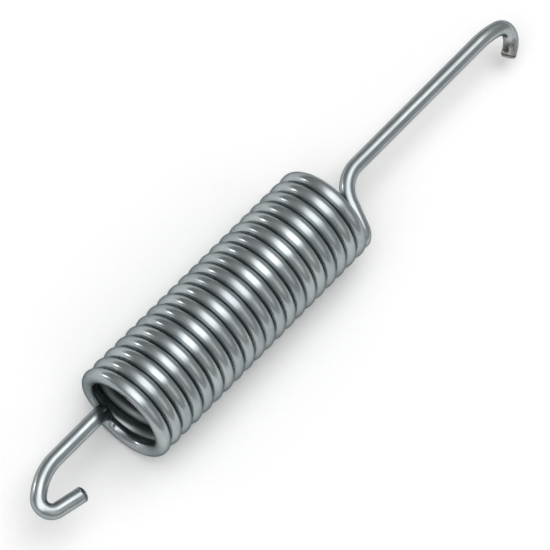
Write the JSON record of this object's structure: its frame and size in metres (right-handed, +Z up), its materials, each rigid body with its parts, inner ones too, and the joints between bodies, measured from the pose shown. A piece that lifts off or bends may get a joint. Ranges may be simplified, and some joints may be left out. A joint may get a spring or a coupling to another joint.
{
  "type": "suspension spring",
  "caption": "Close-wound tension spring of round steel wire with a short open hook at one end and a long straight arm ending in a hook at the other.",
  "frame": {"origin": "middle of the part's length and width, on the surface that the coil lies on", "axes": "+X along the coil's axis from the short hook to the long arm's hook, +Y across it, +Z up from the surface"},
  "size_m": [0.1948, 0.0284, 0.0284],
  "materials": {
    "plated_wire": "bright zinc plate, lightly drawn"
  },
  "bodies": {
    "root": {"spring": "plated_wire"}
  },
  "joints": []
}
